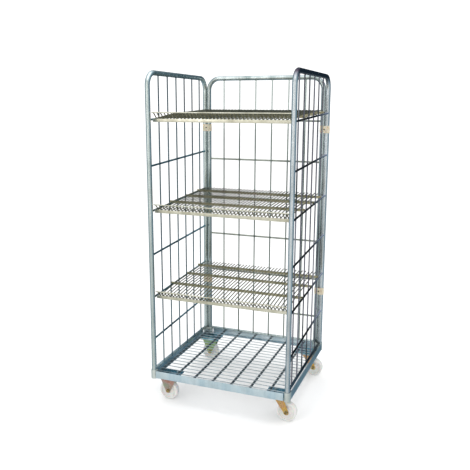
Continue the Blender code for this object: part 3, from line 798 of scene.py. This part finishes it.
def caster_bolts(corner, centre):
    """Four bolts through the caster's plate and the mounting plate, with their washers and nuts."""
    low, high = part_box(f"mounting_plate_{corner}")
    top = high.z
    washer_top = top + WASHER_THICK
    washer = [(0.008, top), (0.008, washer_top), (0.0001, washer_top), (0.0001, top)]
    bm = bmesh.new()
    for sign_x in (-1, 1):
        for sign_y in (-1, 1):
            x = centre.x + sign_x * BOLT_OFFSETS[0]
            y = centre.y + sign_y * BOLT_OFFSETS[1]
            at = Matrix.Translation((x, y, 0)) @ Matrix.Rotation(0.4 * sign_x + 0.7 * sign_y, 4, "Z")
            add_turned(bm, rounded(washer, 0.0004), at, 24, closed=True)
            add_hex(bm, at, BOLT_ACROSS, washer_top, washer_top + 0.005)
            under = Matrix.Translation((0, 0, low.z - PLATE_STACK))
            down = at @ under @ Matrix.Rotation(math.pi, 4, "X")
            add_hex(bm, down, BOLT_ACROSS, 0.0, 0.0058)
            add_wire(bm, [down @ Vector((0, 0, 0.004)), down @ Vector((0, 0, 0.0085))], 0.0030, sides=14)
    place(finish_mesh(f"caster_bolts_{corner}", bm, STEEL, smooth=30), "cage", "steel")


def build_plates():
    """Blue plates inside the corners of the base."""
    for corner in CORNERS:
        node = f"mounting_plate_{corner}"
        low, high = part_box(node)
        half = (high - low) / 2
        bm = bmesh.new()
        outline = rounded_plate(half, 0.006, 5)
        add_prism(bm, outline, -half.z, half.z, Matrix.Translation((low + high) / 2))
        piece = finish_mesh(f"corner_plate_{corner}", bm, ZINC_BLUE, smooth=30, bevel=0.0006)
        place(piece, "cage", "zinc_plate", node)
        caster_bolts(corner, caster_centre(corner))


# ---- shelves


def shelf_path():
    """A wire's (y, z) line in the shelf's own frame: level, down to the front bar, then up to the lip."""
    level = SHELF_BAR[1] + SHELF_WIRE_R
    low = level - SHELF_FRONT_DROP
    rise = math.atan2(SHELF_LIP_RISE, SHELF_BEND_Y - SHELF_LIP_Y)
    fall = math.atan2(SHELF_FRONT_DROP, SHELF_BAR_Y[0] - SHELF_BEND_Y)
    back = SHELF_BEND_R * math.tan((rise + fall) / 2)
    bar_y = SHELF_BAR_Y[0]
    points = [(SHELF_REAR_Y, level), (bar_y + 0.01, level), (bar_y - 0.01, level - SHELF_BAR_SINK)]
    start = Vector((SHELF_BEND_Y + back * math.cos(fall), low + back * math.sin(fall)))
    middle = start + SHELF_BEND_R * Vector((math.sin(-fall), math.cos(fall)))
    for step in range(7):
        angle = -fall + (rise + fall) * step / 6
        around = SHELF_BEND_R * Vector((math.sin(angle), math.cos(angle)))
        points.append(tuple(middle - around))
    points.append((SHELF_LIP_Y, low + SHELF_LIP_RISE))
    return points


def add_bar(bm, stand, y, stations, high):
    """A flat bar across the shelf, with softened edges. Each station is (x, underside)."""
    half = SHELF_BAR[0] / 2
    rings = []
    for x, low in stations:
        section = rounded([(y - half, low), (y + half, low), (y + half, high), (y - half, high)], 0.0012, 3)
        rings.append([stand @ Vector((x, a, b)) for a, b in section])
    add_rings(bm, rings)


def shelf_place(word):
    """The shelf's own level frame, tilted and raised to lie on the rising side rods."""
    tilt = math.atan(SIDE_ROD_RISE / (2 * PANEL_Y))
    turn = Euler((tilt, 0, 0)).to_matrix().to_4x4()
    under = SHELF_BAR[1] - SHELF_FRONT_DROP + SHELF_BAR_SINK - SHELF_FRONT_DEPTH
    lowest = turn @ Vector((0, SHELF_FRONT_Y - SHELF_BAR[0] / 2, under))
    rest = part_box(f"shelf_{word}")[0].z - lowest.z
    return Matrix.Translation((SHIFT_X, 0, rest)) @ turn


def shelf_wires(word, stand):
    """The close wires of a shelf, front to back."""
    node = f"shelf_{word}"
    path = shelf_path()
    bm = bmesh.new()
    for index in range(SHELF_WIRES):
        x = (index - (SHELF_WIRES - 1) / 2) * SHELF_PITCH
        add_wire(bm, [stand @ Vector((x, y, z)) for y, z in path], SHELF_WIRE_R, sides=10)
    # The wires take the darkest copy of the shelf plate, painted shade.
    place(finish_mesh(f"shelf_wires_{word}", bm, SHELF, smooth=60), node, "shelf_wire", node)


def shelf_bars(word, stand):
    """The flat bars under a shelf's wires, cut away below their ends to sit on the side rods."""
    node = f"shelf_{word}"
    low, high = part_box(node)
    reach = (high.x - low.x) / 2
    notch = SHELF_NOTCH_X - 0.0005
    half_bar = [(reach, 0.0), (SHELF_NOTCH_X, 0.0), (notch, -SHELF_NOTCH_DEPTH)]
    stations = [(-x, under) for x, under in half_bar] + list(reversed(half_bar))
    bm = bmesh.new()
    for y in SHELF_BAR_Y:
        add_bar(bm, stand, y, stations, SHELF_BAR[1])
    place(finish_mesh(f"shelf_bars_{word}", bm, SHELF_BARS, smooth=30), node, "shelf_wire")


def shelf_front(word, stand):
    """The lip wire along a shelf's raised front, and the lower front bar."""
    lip_z = SHELF_BAR[1] - SHELF_FRONT_DROP + SHELF_LIP_RISE + SHELF_LIP_WIRE_LIFT
    ends = [stand @ Vector((x, SHELF_LIP_Y, lip_z)) for x in (-SHELF_LIP_REACH, SHELF_LIP_REACH)]
    top = SHELF_BAR[1] - SHELF_FRONT_DROP + SHELF_BAR_SINK
    under = top - SHELF_FRONT_DEPTH
    bm = bmesh.new()
    add_wire(bm, ends, SHELF_WIRE_R, sides=12)
    add_bar(bm, stand, SHELF_FRONT_Y, [(-SHELF_FRONT_REACH, under), (SHELF_FRONT_REACH, under)], top)
    # The front bar and lip wire take the palest copy of the shelf plate, painted light on the lit front.
    place(finish_mesh(f"shelf_front_{word}", bm, SHELF_FRONT, smooth=30), f"shelf_{word}", "shelf_wire")


def build_shelf(word):
    """One lift-off shelf: close wires on flat bars, with a thin wire along the raised front lip."""
    stand = shelf_place(word)
    shelf_wires(word, stand)
    shelf_bars(word, stand)
    shelf_front(word, stand)


# ---- clips


def clip_outline(radius, half, bore):
    """A stadium whose outer sides have a groove either side of the screw boss."""
    groove = CLIP_GROOVE if radius > bore + 0.001 else 0.0
    steps = 24
    across = []
    for index in range(1, steps):
        x = half - 2 * half * index / steps
        depth = groove * math.exp(-(((abs(x) - CLIP_GROOVE_X) / CLIP_GROOVE_WIDE) ** 2))
        across.append((x, radius - depth))
    return stadium(radius, half, across)


def build_clip(place_name):
    """A band round one pair of rear posts, with a rib round the middle and a cross-head screw."""
    node = f"clip_{place_name}"
    low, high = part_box(node)
    radius = (high.y - low.y) / 2
    half = (high.x - low.x) / 2 - radius
    tall = high.z - low.z
    bore = TUBE_R + FIT
    outside = [
        (bore, 0),
        (radius - CLIP_RIB, 0),
        (radius - CLIP_RIB, tall * 0.30),
        (radius, tall * 0.34),
        (radius, tall * 0.66),
        (radius - CLIP_RIB, tall * 0.70),
        (radius - CLIP_RIB, tall),
        (bore, tall),
    ]
    middle = (low + high) / 2
    centre = Vector((middle.x, middle.y, low.z))
    bm = bmesh.new()
    add_band(bm, rounded(outside, 0.0010), lambda r: clip_outline(r, half, bore), centre)
    place(finish_mesh(f"band_{place_name}", bm, CREAM), "cage", "clip_plastic", node)
    build_clip_screw(f"clip_screw_{place_name}", low.y, middle)


def build_clip_screw(node, front, middle):
    """A domed screw head with a cross recess."""
    low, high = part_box(node)
    radius = (high.x - low.x) / 2
    facing = Matrix.Translation((middle.x, front, middle.z)) @ Matrix.Rotation(math.pi / 2, 4, "X")
    dome = [(0, 0.0019), (radius * 0.45, 0.0017), (radius * 0.8, 0.0010), (radius, 0.0003)]
    bm = bmesh.new()
    add_turned(bm, dome + [(radius, 0), (0, 0)], facing, 24)
    for turn in (0, math.pi / 2):
        slot = facing @ Matrix.Translation((0, 0, 0.00185)) @ Matrix.Rotation(turn + 0.5, 4, "Z")
        size = Matrix.Diagonal((radius, radius * 0.22, 0.0003, 1))
        bmesh.ops.create_cube(bm, size=1.0, matrix=slot @ size)
    place(finish_mesh(f"head_{node}", bm, SCREW_STEEL), "cage", "steel", node)


# ---- casters


def caster_centre(corner):
    """The middle of the caster's top plate."""
    if corner.endswith("left"):
        return box_centre(f"wheel_{corner}")
    return box_centre(f"kingpin_{corner}")


def build_wheel(corner):
    """Moulded wheel: rounded tread, raised rim, dished web with two steps, and a hub boss."""
    node = f"wheel_{corner}"
    low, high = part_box(node)
    middle = (low + high) / 2
    radius = (high.z - low.z) / 2
    hub = (high.y - low.y) / 2
    half = hub - 0.0015
    bore = 0.0083
    side = [
        (radius, 0.0),
        (radius, half - 0.0042),
        (radius - 0.0014, half - 0.0014),
        (radius - 0.0046, half),
        (0.0415, half),
        (0.0395, half - 0.0012),
        (0.0380, half - 0.0044),
        (0.0325, half - 0.0052),
        (0.0310, half - 0.0070),
        (0.0225, half - 0.0076),
        (0.0205, half - 0.0050),
        (0.0190, hub - 0.0010),
        (0.0178, hub),
        (bore + 0.0008, hub),
        (bore, hub - 0.0008),
    ]
    profile = side + [(r, -z) for r, z in reversed(side)][:-1]
    bm = bmesh.new()
    axle = Matrix.Translation(middle) @ Matrix.Rotation(math.pi / 2, 4, "X")
    add_turned(bm, profile, axle, 96, closed=True)
    place(finish_mesh(f"tread_{corner}", bm, NYLON, smooth=28), node, "nylon", node)


def build_axle(corner, body):
    """Hexagon bolt, washers, a nut with its collar, and the bush that the wheel turns on."""
    low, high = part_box(f"axle_bolt_{corner}")
    middle = box_centre(f"wheel_{corner}")
    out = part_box(f"axle_nut_{corner}")
    across = (out[1].x - out[0].x) * 0.94
    axle = Matrix.Translation(middle) @ Matrix.Rotation(math.pi / 2, 4, "X")
    nut_side = math.copysign(1.0, out[0].y + out[1].y - 2 * middle.y)
    face = min(abs(out[0].y - middle.y), abs(out[1].y - middle.y))
    end = max(high.y - middle.y, middle.y - low.y)
    head_end = min(high.y - middle.y, middle.y - low.y)
    nut = axle if nut_side < 0 else axle @ Matrix.Rotation(math.pi, 4, "X")
    head = nut @ Matrix.Rotation(math.pi, 4, "X")
    bm = bmesh.new()
    washer_top = face + WASHER_THICK
    washer = rounded([(0.0052, face), (0.0098, face), (0.0098, washer_top), (0.0052, washer_top)], 0.0004)
    collar_low = face + 0.006
    collar_top = face + 0.009
    collar = [(0.0048, collar_low), (0.0072, collar_low), (0.0066, collar_top), (0.0048, collar_top)]
    add_turned(bm, washer, nut, 32, closed=True)
    add_hex(bm, nut, across, washer_top, face + 0.0066)
    add_turned(bm, rounded(collar, 0.0006), nut, 32, closed=True)
    place(finish_mesh(f"nut_{corner}", bm, NUT_GOLD, smooth=30), body, "gold_zinc", f"axle_nut_{corner}")
    bm = bmesh.new()
    add_turned(bm, washer, head, 32, closed=True)
    add_hex(bm, head, across, washer_top, head_end)
    add_wire(bm, [head @ Vector((0, 0, head_end - 0.004)), nut @ Vector((0, 0, end))], 0.0048, sides=24)
    place(finish_mesh(f"bolt_{corner}", bm, NUT_GOLD, smooth=30), body, "gold_zinc", f"axle_bolt_{corner}")
    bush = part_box(f"wheel_bush_{corner}")
    reach = (bush[1].y - bush[0].y) / 2
    bm = bmesh.new()
    tube = rounded([(0.0053, -reach), (0.0080, -reach), (0.0080, reach), (0.0053, reach)], 0.0004)
    add_turned(bm, tube, axle, 40, closed=True)
    place(finish_mesh(f"bush_{corner}", bm, STEEL), body, "steel", f"wheel_bush_{corner}")


def leg_sheet(bm, centre, side, stations, rib):
    """One leg of a fork, pressed from sheet.

    Each station is (inner y, z, left x, right x), from the top down. rib is (x, half width, height).
    """
    columns = 14
    grids = []
    for offset in (0.0, LEG_THICK):
        grid = []
        for index, (y, z, left, right) in enumerate(stations):
            before = stations[max(index - 1, 0)]
            after = stations[min(index + 1, len(stations) - 1)]
            along = Vector((after[0] - before[0], after[1] - before[1]))
            along = along.normalized() if along.length else Vector((0, -1))
            out = Vector((-along.y, along.x))
            row = []
            for column in range(columns + 1):
                x = left + (right - left) * column / columns
                swell = rib[2] * math.exp(-(((x - rib[0]) / rib[1]) ** 2)) * min(1.0, index / 4)
                swell *= 1.0 if z > centre.z + 0.016 else 0.0
                at = out * (offset + swell)
                row.append(Vector((centre.x + x, centre.y + side * (y + at.x), z + at.y)))
            grid.append(row)
        grids.append(grid)
    verts = [[[bm.verts.new(p) for p in row] for row in grid] for grid in grids]
    rows = len(stations)
    for which in (0, 1):
        for r in range(rows - 1):
            for c in range(columns):
                g = verts[which]
                bm.faces.new((g[r][c], g[r][c + 1], g[r + 1][c + 1], g[r + 1][c]))
    inner, outer = verts
    for r in range(rows - 1):
        for c in (0, columns):
            bm.faces.new((inner[r][c], inner[r + 1][c], outer[r + 1][c], outer[r][c]))
    for r in (0, rows - 1):
        for c in range(columns):
            bm.faces.new((inner[r][c], inner[r][c + 1], outer[r][c + 1], outer[r][c]))


def leg_stations(top_z, axle_z, top_left, top_right, axle_x, bent):
    """The rows of a leg: its top, bent out of the plate or straight, its flanks and its round end."""
    inner = LEG_INNER_Y
    rows = []
    for step in range(5):
        angle = math.pi / 2 * step / 4
        y = inner + LEG_BEND * (1 - math.sin(angle)) if bent else inner
        z = top_z - LEG_BEND * (1 - math.cos(angle)) if bent else top_z - LEG_BEND * step / 4
        rows.append((y, z, top_left, top_right))
    start = rows[-1][1]
    for step in range(1, 9):
        t = step / 8
        z = start + (axle_z - start) * t
        left = top_left + (axle_x - LEG_END_R - top_left) * t
        right = top_right + (axle_x + LEG_END_R - top_right) * t
        rows.append((inner, z, left, right))
    for step in range(1, 9):
        angle = math.pi / 2 * step / 8 * 0.985
        reach = LEG_END_R * math.cos(angle)
        rows.append((inner, axle_z - LEG_END_R * math.sin(angle), axle_x - reach, axle_x + reach))
    return rows


def top_plate(bm, low, high):
    """A caster's top plate with rounded corners."""
    half = (high - low) / 2
    outline = rounded_plate(half, 0.009, 6)
    add_prism(bm, outline, -half.z, half.z, Matrix.Translation((low + high) / 2))


def build_fixed_caster(corner):
    """Plate and wide legs of a fixed caster."""
    node = f"fixed_bracket_{corner}"
    low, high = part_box(node)
    middle = box_centre(f"wheel_{corner}")
    plate_low = Vector((low.x, low.y, high.z - LEG_THICK))
    bm = bmesh.new()
    top_plate(bm, plate_low, high)
    rows = leg_stations(plate_low.z, middle.z, -FIXED_LEG_HALF, FIXED_LEG_HALF, 0.0, True)
    for side in (-1, 1):
        leg_sheet(bm, middle, side, rows, FIXED_RIB)
    finish = ROSE if corner == "front_left" else GREEN_GOLD
    piece = finish_mesh(f"bracket_{corner}", bm, finish, smooth=35, bevel=0.0005)
    place(piece, "cage", "gold_zinc", node)
    build_wheel(corner)
    build_axle(corner, "cage")


def swivel_plate(corner):
    node = f"swivel_plate_{corner}"
    low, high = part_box(node)
    bm = bmesh.new()
    top_plate(bm, low, high)
    piece = finish_mesh(f"top_plate_{corner}", bm, GOLD, smooth=35, bevel=0.0005)
    place(piece, "cage", "gold_zinc", node)


def ball_race(corner, body, pin):
    """The two pressed races, with the gap between them."""
    node = f"ball_race_{corner}"
    low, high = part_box(node)
    tall = high.z - low.z
    lower = [(0.0190, 0), (0.0290, 0), (0.0300, tall * 0.15), (0.0300, tall * 0.38)]
    gap = [(0.0272, tall * 0.47), (0.0272, tall * 0.53)]
    upper = [(0.0300, tall * 0.62), (0.0300, tall * 0.86), (0.0288, tall), (0.0190, tall)]
    bm = bmesh.new()
    add_turned(bm, lower + gap + upper, Matrix.Translation((pin.x, pin.y, low.z)), 56, closed=True)
    place(finish_mesh(f"race_{corner}", bm, STEEL, smooth=30), body, "steel", node)


def swivel_fork(corner, body, pin):
    """A domed crown about the kingpin, with two trailing legs."""
    node = f"swivel_fork_{corner}"
    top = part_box(node)[1].z
    wheel = box_centre(f"wheel_{corner}")
    upper = [(0.0068, top), (0.0190, top), (0.0300, top - 0.0002), (0.0345, top - 0.0012)]
    lower = [(0.0360, top - 0.0034), (0.0330, top - 0.0040), (0.0310, top - 0.0032), (0.0068, top - 0.0030)]
    bm = bmesh.new()
    add_turned(bm, upper + lower, Matrix.Translation((pin.x, pin.y, 0)), 64, closed=True)
    centre = Vector((pin.x, pin.y, wheel.z))
    rows = leg_stations(top - 0.0015, wheel.z, *SWIVEL_LEG_X, wheel.x - pin.x, False)
    for side in (-1, 1):
        leg_sheet(bm, centre, side, rows, SWIVEL_RIB)
    piece = finish_mesh(f"fork_{corner}", bm, GOLD, smooth=35, bevel=0.0005)
    place(piece, body, "gold_zinc", node)


def kingpin(corner, pin):
    """A round pin with a domed head below."""
    node = f"kingpin_{corner}"
    low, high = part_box(node)
    head = (high.x - low.x) / 2
    shank = [(0, high.z), (0.006, high.z), (0.006, low.z + 0.0062), (head, low.z + 0.0062)]
    dome = [(head, low.z + 0.0035), (head * 0.86, low.z + 0.0012), (head * 0.5, low.z), (0, low.z)]
    bm = bmesh.new()
    add_turned(bm, shank + dome, Matrix.Translation((pin.x, pin.y, 0)), 40)
    place(finish_mesh(f"king_bolt_{corner}", bm, STEEL, smooth=30), "cage", "steel", node)


def build_swivel_caster(corner):
    """Top plate, ball race, fork, kingpin and wheel of a swivel caster."""
    body = f"swivel_{corner}"
    pin = box_centre(f"kingpin_{corner}")
    swivel_plate(corner)
    ball_race(corner, body, pin)
    swivel_fork(corner, body, pin)
    kingpin(corner, pin)
    build_wheel(corner)
    build_axle(corner, body)


# ---- stage

AMBIENT = 1.25
# From behind the cage, round the sides, to its open front
ROOM_AROUND = (
    (0.00, (0.015, 0.035, 0.06)),
    (0.05, (0.06, 0.11, 0.14)),
    (0.20, (0.18, 0.30, 0.38)),
    (0.50, (0.34, 0.46, 0.54)),
    (0.85, (0.62, 0.67, 0.67)),
    (1.00, (0.88, 0.90, 0.88)),
)
# From straight down to straight up
ROOM_HEIGHT = (
    (0.00, (0.10, 0.10, 0.10)),
    (0.45, (0.0, 0.0, 0.0)),
    (0.62, (0.0, 0.0, 0.0)),
    (1.00, (0.5, 0.5, 0.5)),
)
# The camera: where it stands from the cage's middle, and its azimuth, drop and roll in radians
CAMERA_STAND = (1.0746, -2.9416, 1.5293)
CAMERA_AZIMUTH = 0.3629
CAMERA_DROP = 0.2091
CAMERA_ROLL = -0.0045
CAMERA_LENS = 45.8


def build_floor():
    """A plain pale floor, large enough to fill every view."""
    bm = bmesh.new()
    bmesh.ops.create_grid(bm, x_segments=1, y_segments=1, size=40)
    n = Nodes("pale_floor")
    tone = n.noise(1.5, 2.0, 0.5)
    n.colour(n.ramp(tone, [(0.3, (0.93, 0.93, 0.93)), (0.7, (0.95, 0.95, 0.95))]))
    n.set(Roughness=0.9)
    n.shader.inputs["Specular IOR Level"].default_value = 0.1
    floor = finish_mesh("floor", bm, n.material)
    floor.visible_glossy = False


def add_ramp(tree, value, stops):
    node = tree.nodes.new("ShaderNodeValToRGB")
    node.color_ramp.interpolation = "EASE"
    set_stops(node.color_ramp, stops)
    tree.links.new(value, node.inputs["Fac"])
    return node.outputs["Color"]


def build_world():
    """A white surround. The metal mirrors a room lit from the open front, and dark blue behind the cage."""
    world = bpy.data.worlds.new("studio")
    bpy.context.scene.world = world
    world.use_nodes = True
    world.cycles.sampling_method = "NONE"
    tree = world.node_tree
    out = tree.nodes["World Output"]
    where = tree.nodes.new("ShaderNodeTexCoord").outputs["Generated"]
    split = tree.nodes.new("ShaderNodeSeparateXYZ")
    tree.links.new(where, split.inputs["Vector"])
    frontness = tree.nodes.new("ShaderNodeMapRange")
    frontness.inputs["From Min"].default_value = 1.0
    frontness.inputs["From Max"].default_value = -1.0
    tree.links.new(split.outputs["Y"], frontness.inputs["Value"])
    around = add_ramp(tree, frontness.outputs["Result"], ROOM_AROUND)
    height = tree.nodes.new("ShaderNodeMapRange")
    height.inputs["From Min"].default_value = -1.0
    tree.links.new(split.outputs["Z"], height.inputs["Value"])
    level = add_ramp(tree, height.outputs["Result"], ROOM_HEIGHT)
    room = tree.nodes.new("ShaderNodeMix")
    room.data_type = "RGBA"
    room.blend_type = "ADD"
    room.inputs["Factor"].default_value = 1.0
    for source, socket in zip((around, level), colour_sockets(room.inputs)):
        tree.links.new(source, socket)
    mirrored = tree.nodes.new("ShaderNodeBackground")
    tree.links.new(colour_sockets(room.outputs)[0], mirrored.inputs["Color"])
    white = tree.nodes.new("ShaderNodeBackground")
    white.inputs["Color"].default_value = (1.0, 1.0, 1.0, 1.0)
    white.inputs["Strength"].default_value = AMBIENT
    path = tree.nodes.new("ShaderNodeLightPath")
    choose = tree.nodes.new("ShaderNodeMixShader")
    tree.links.new(path.outputs["Is Glossy Ray"], choose.inputs["Fac"])
    tree.links.new(white.outputs["Background"], choose.inputs[1])
    tree.links.new(mirrored.outputs["Background"], choose.inputs[2])
    tree.links.new(choose.outputs["Shader"], out.inputs["Surface"])


def add_light(name, location, target, size, power):
    """A soft rectangular light aimed at a point."""
    data = bpy.data.lights.new(name, "AREA")
    data.shape = "RECTANGLE"
    data.size = size[0]
    data.size_y = size[1]
    data.energy = power
    lamp = bpy.data.objects.new(name, data)
    bpy.context.scene.collection.objects.link(lamp)
    lamp.location = location
    aim = Vector(target) - Vector(location)
    lamp.rotation_euler = aim.to_track_quat("-Z", "Y").to_euler()


def build_lights():
    """Soft studio light from overhead and from the front."""
    middle = (0.0, 0.0, 0.85)
    add_light("overhead", (0.0, -0.6, 4.2), middle, (4.0, 4.0), 40)
    add_light("key_left", (-2.0, -4.2, 2.2), middle, (0.8, 3.0), 16)
    add_light("front_fill", (2.2, -4.4, 1.6), middle, (0.6, 3.2), 9)


def build_camera():
    """Standing to the right of the open front, a little above mid height."""
    right = Vector((math.cos(CAMERA_AZIMUTH), math.sin(CAMERA_AZIMUTH), 0))
    level = Vector((-right.y, right.x, 0))
    ahead = level * math.cos(CAMERA_DROP) - Vector((0, 0, math.sin(CAMERA_DROP)))
    down = ahead.cross(right)
    across = right * math.cos(CAMERA_ROLL) + down * math.sin(CAMERA_ROLL)
    below = down * math.cos(CAMERA_ROLL) - right * math.sin(CAMERA_ROLL)
    turn = Matrix((across, -below, -ahead)).transposed().to_4x4()
    data = bpy.data.cameras.new("camera")
    data.sensor_width = 36.0
    data.lens = CAMERA_LENS
    data.clip_end = 100.0
    camera = bpy.data.objects.new("camera", data)
    bpy.context.scene.collection.objects.link(camera)
    camera.matrix_world = Matrix.Translation(Vector(CAMERA_STAND) + Vector((SHIFT_X, 0, 0))) @ turn
    bpy.context.scene.camera = camera


build_camera()
build_panels()
build_rails()
build_sockets()
build_deck()
build_plates()
for shelf_word in ("top", "middle", "bottom"):
    build_shelf(shelf_word)
for clip_place in ("upper_left", "upper_right", "lower_left", "lower_right"):
    build_clip(clip_place)
for fixed_corner in ("front_left", "rear_left"):
    build_fixed_caster(fixed_corner)
for swivel_corner in ("front_right", "rear_right"):
    build_swivel_caster(swivel_corner)
build_floor()
build_world()
build_lights()
bpy.context.scene.view_settings.view_transform = "Standard"
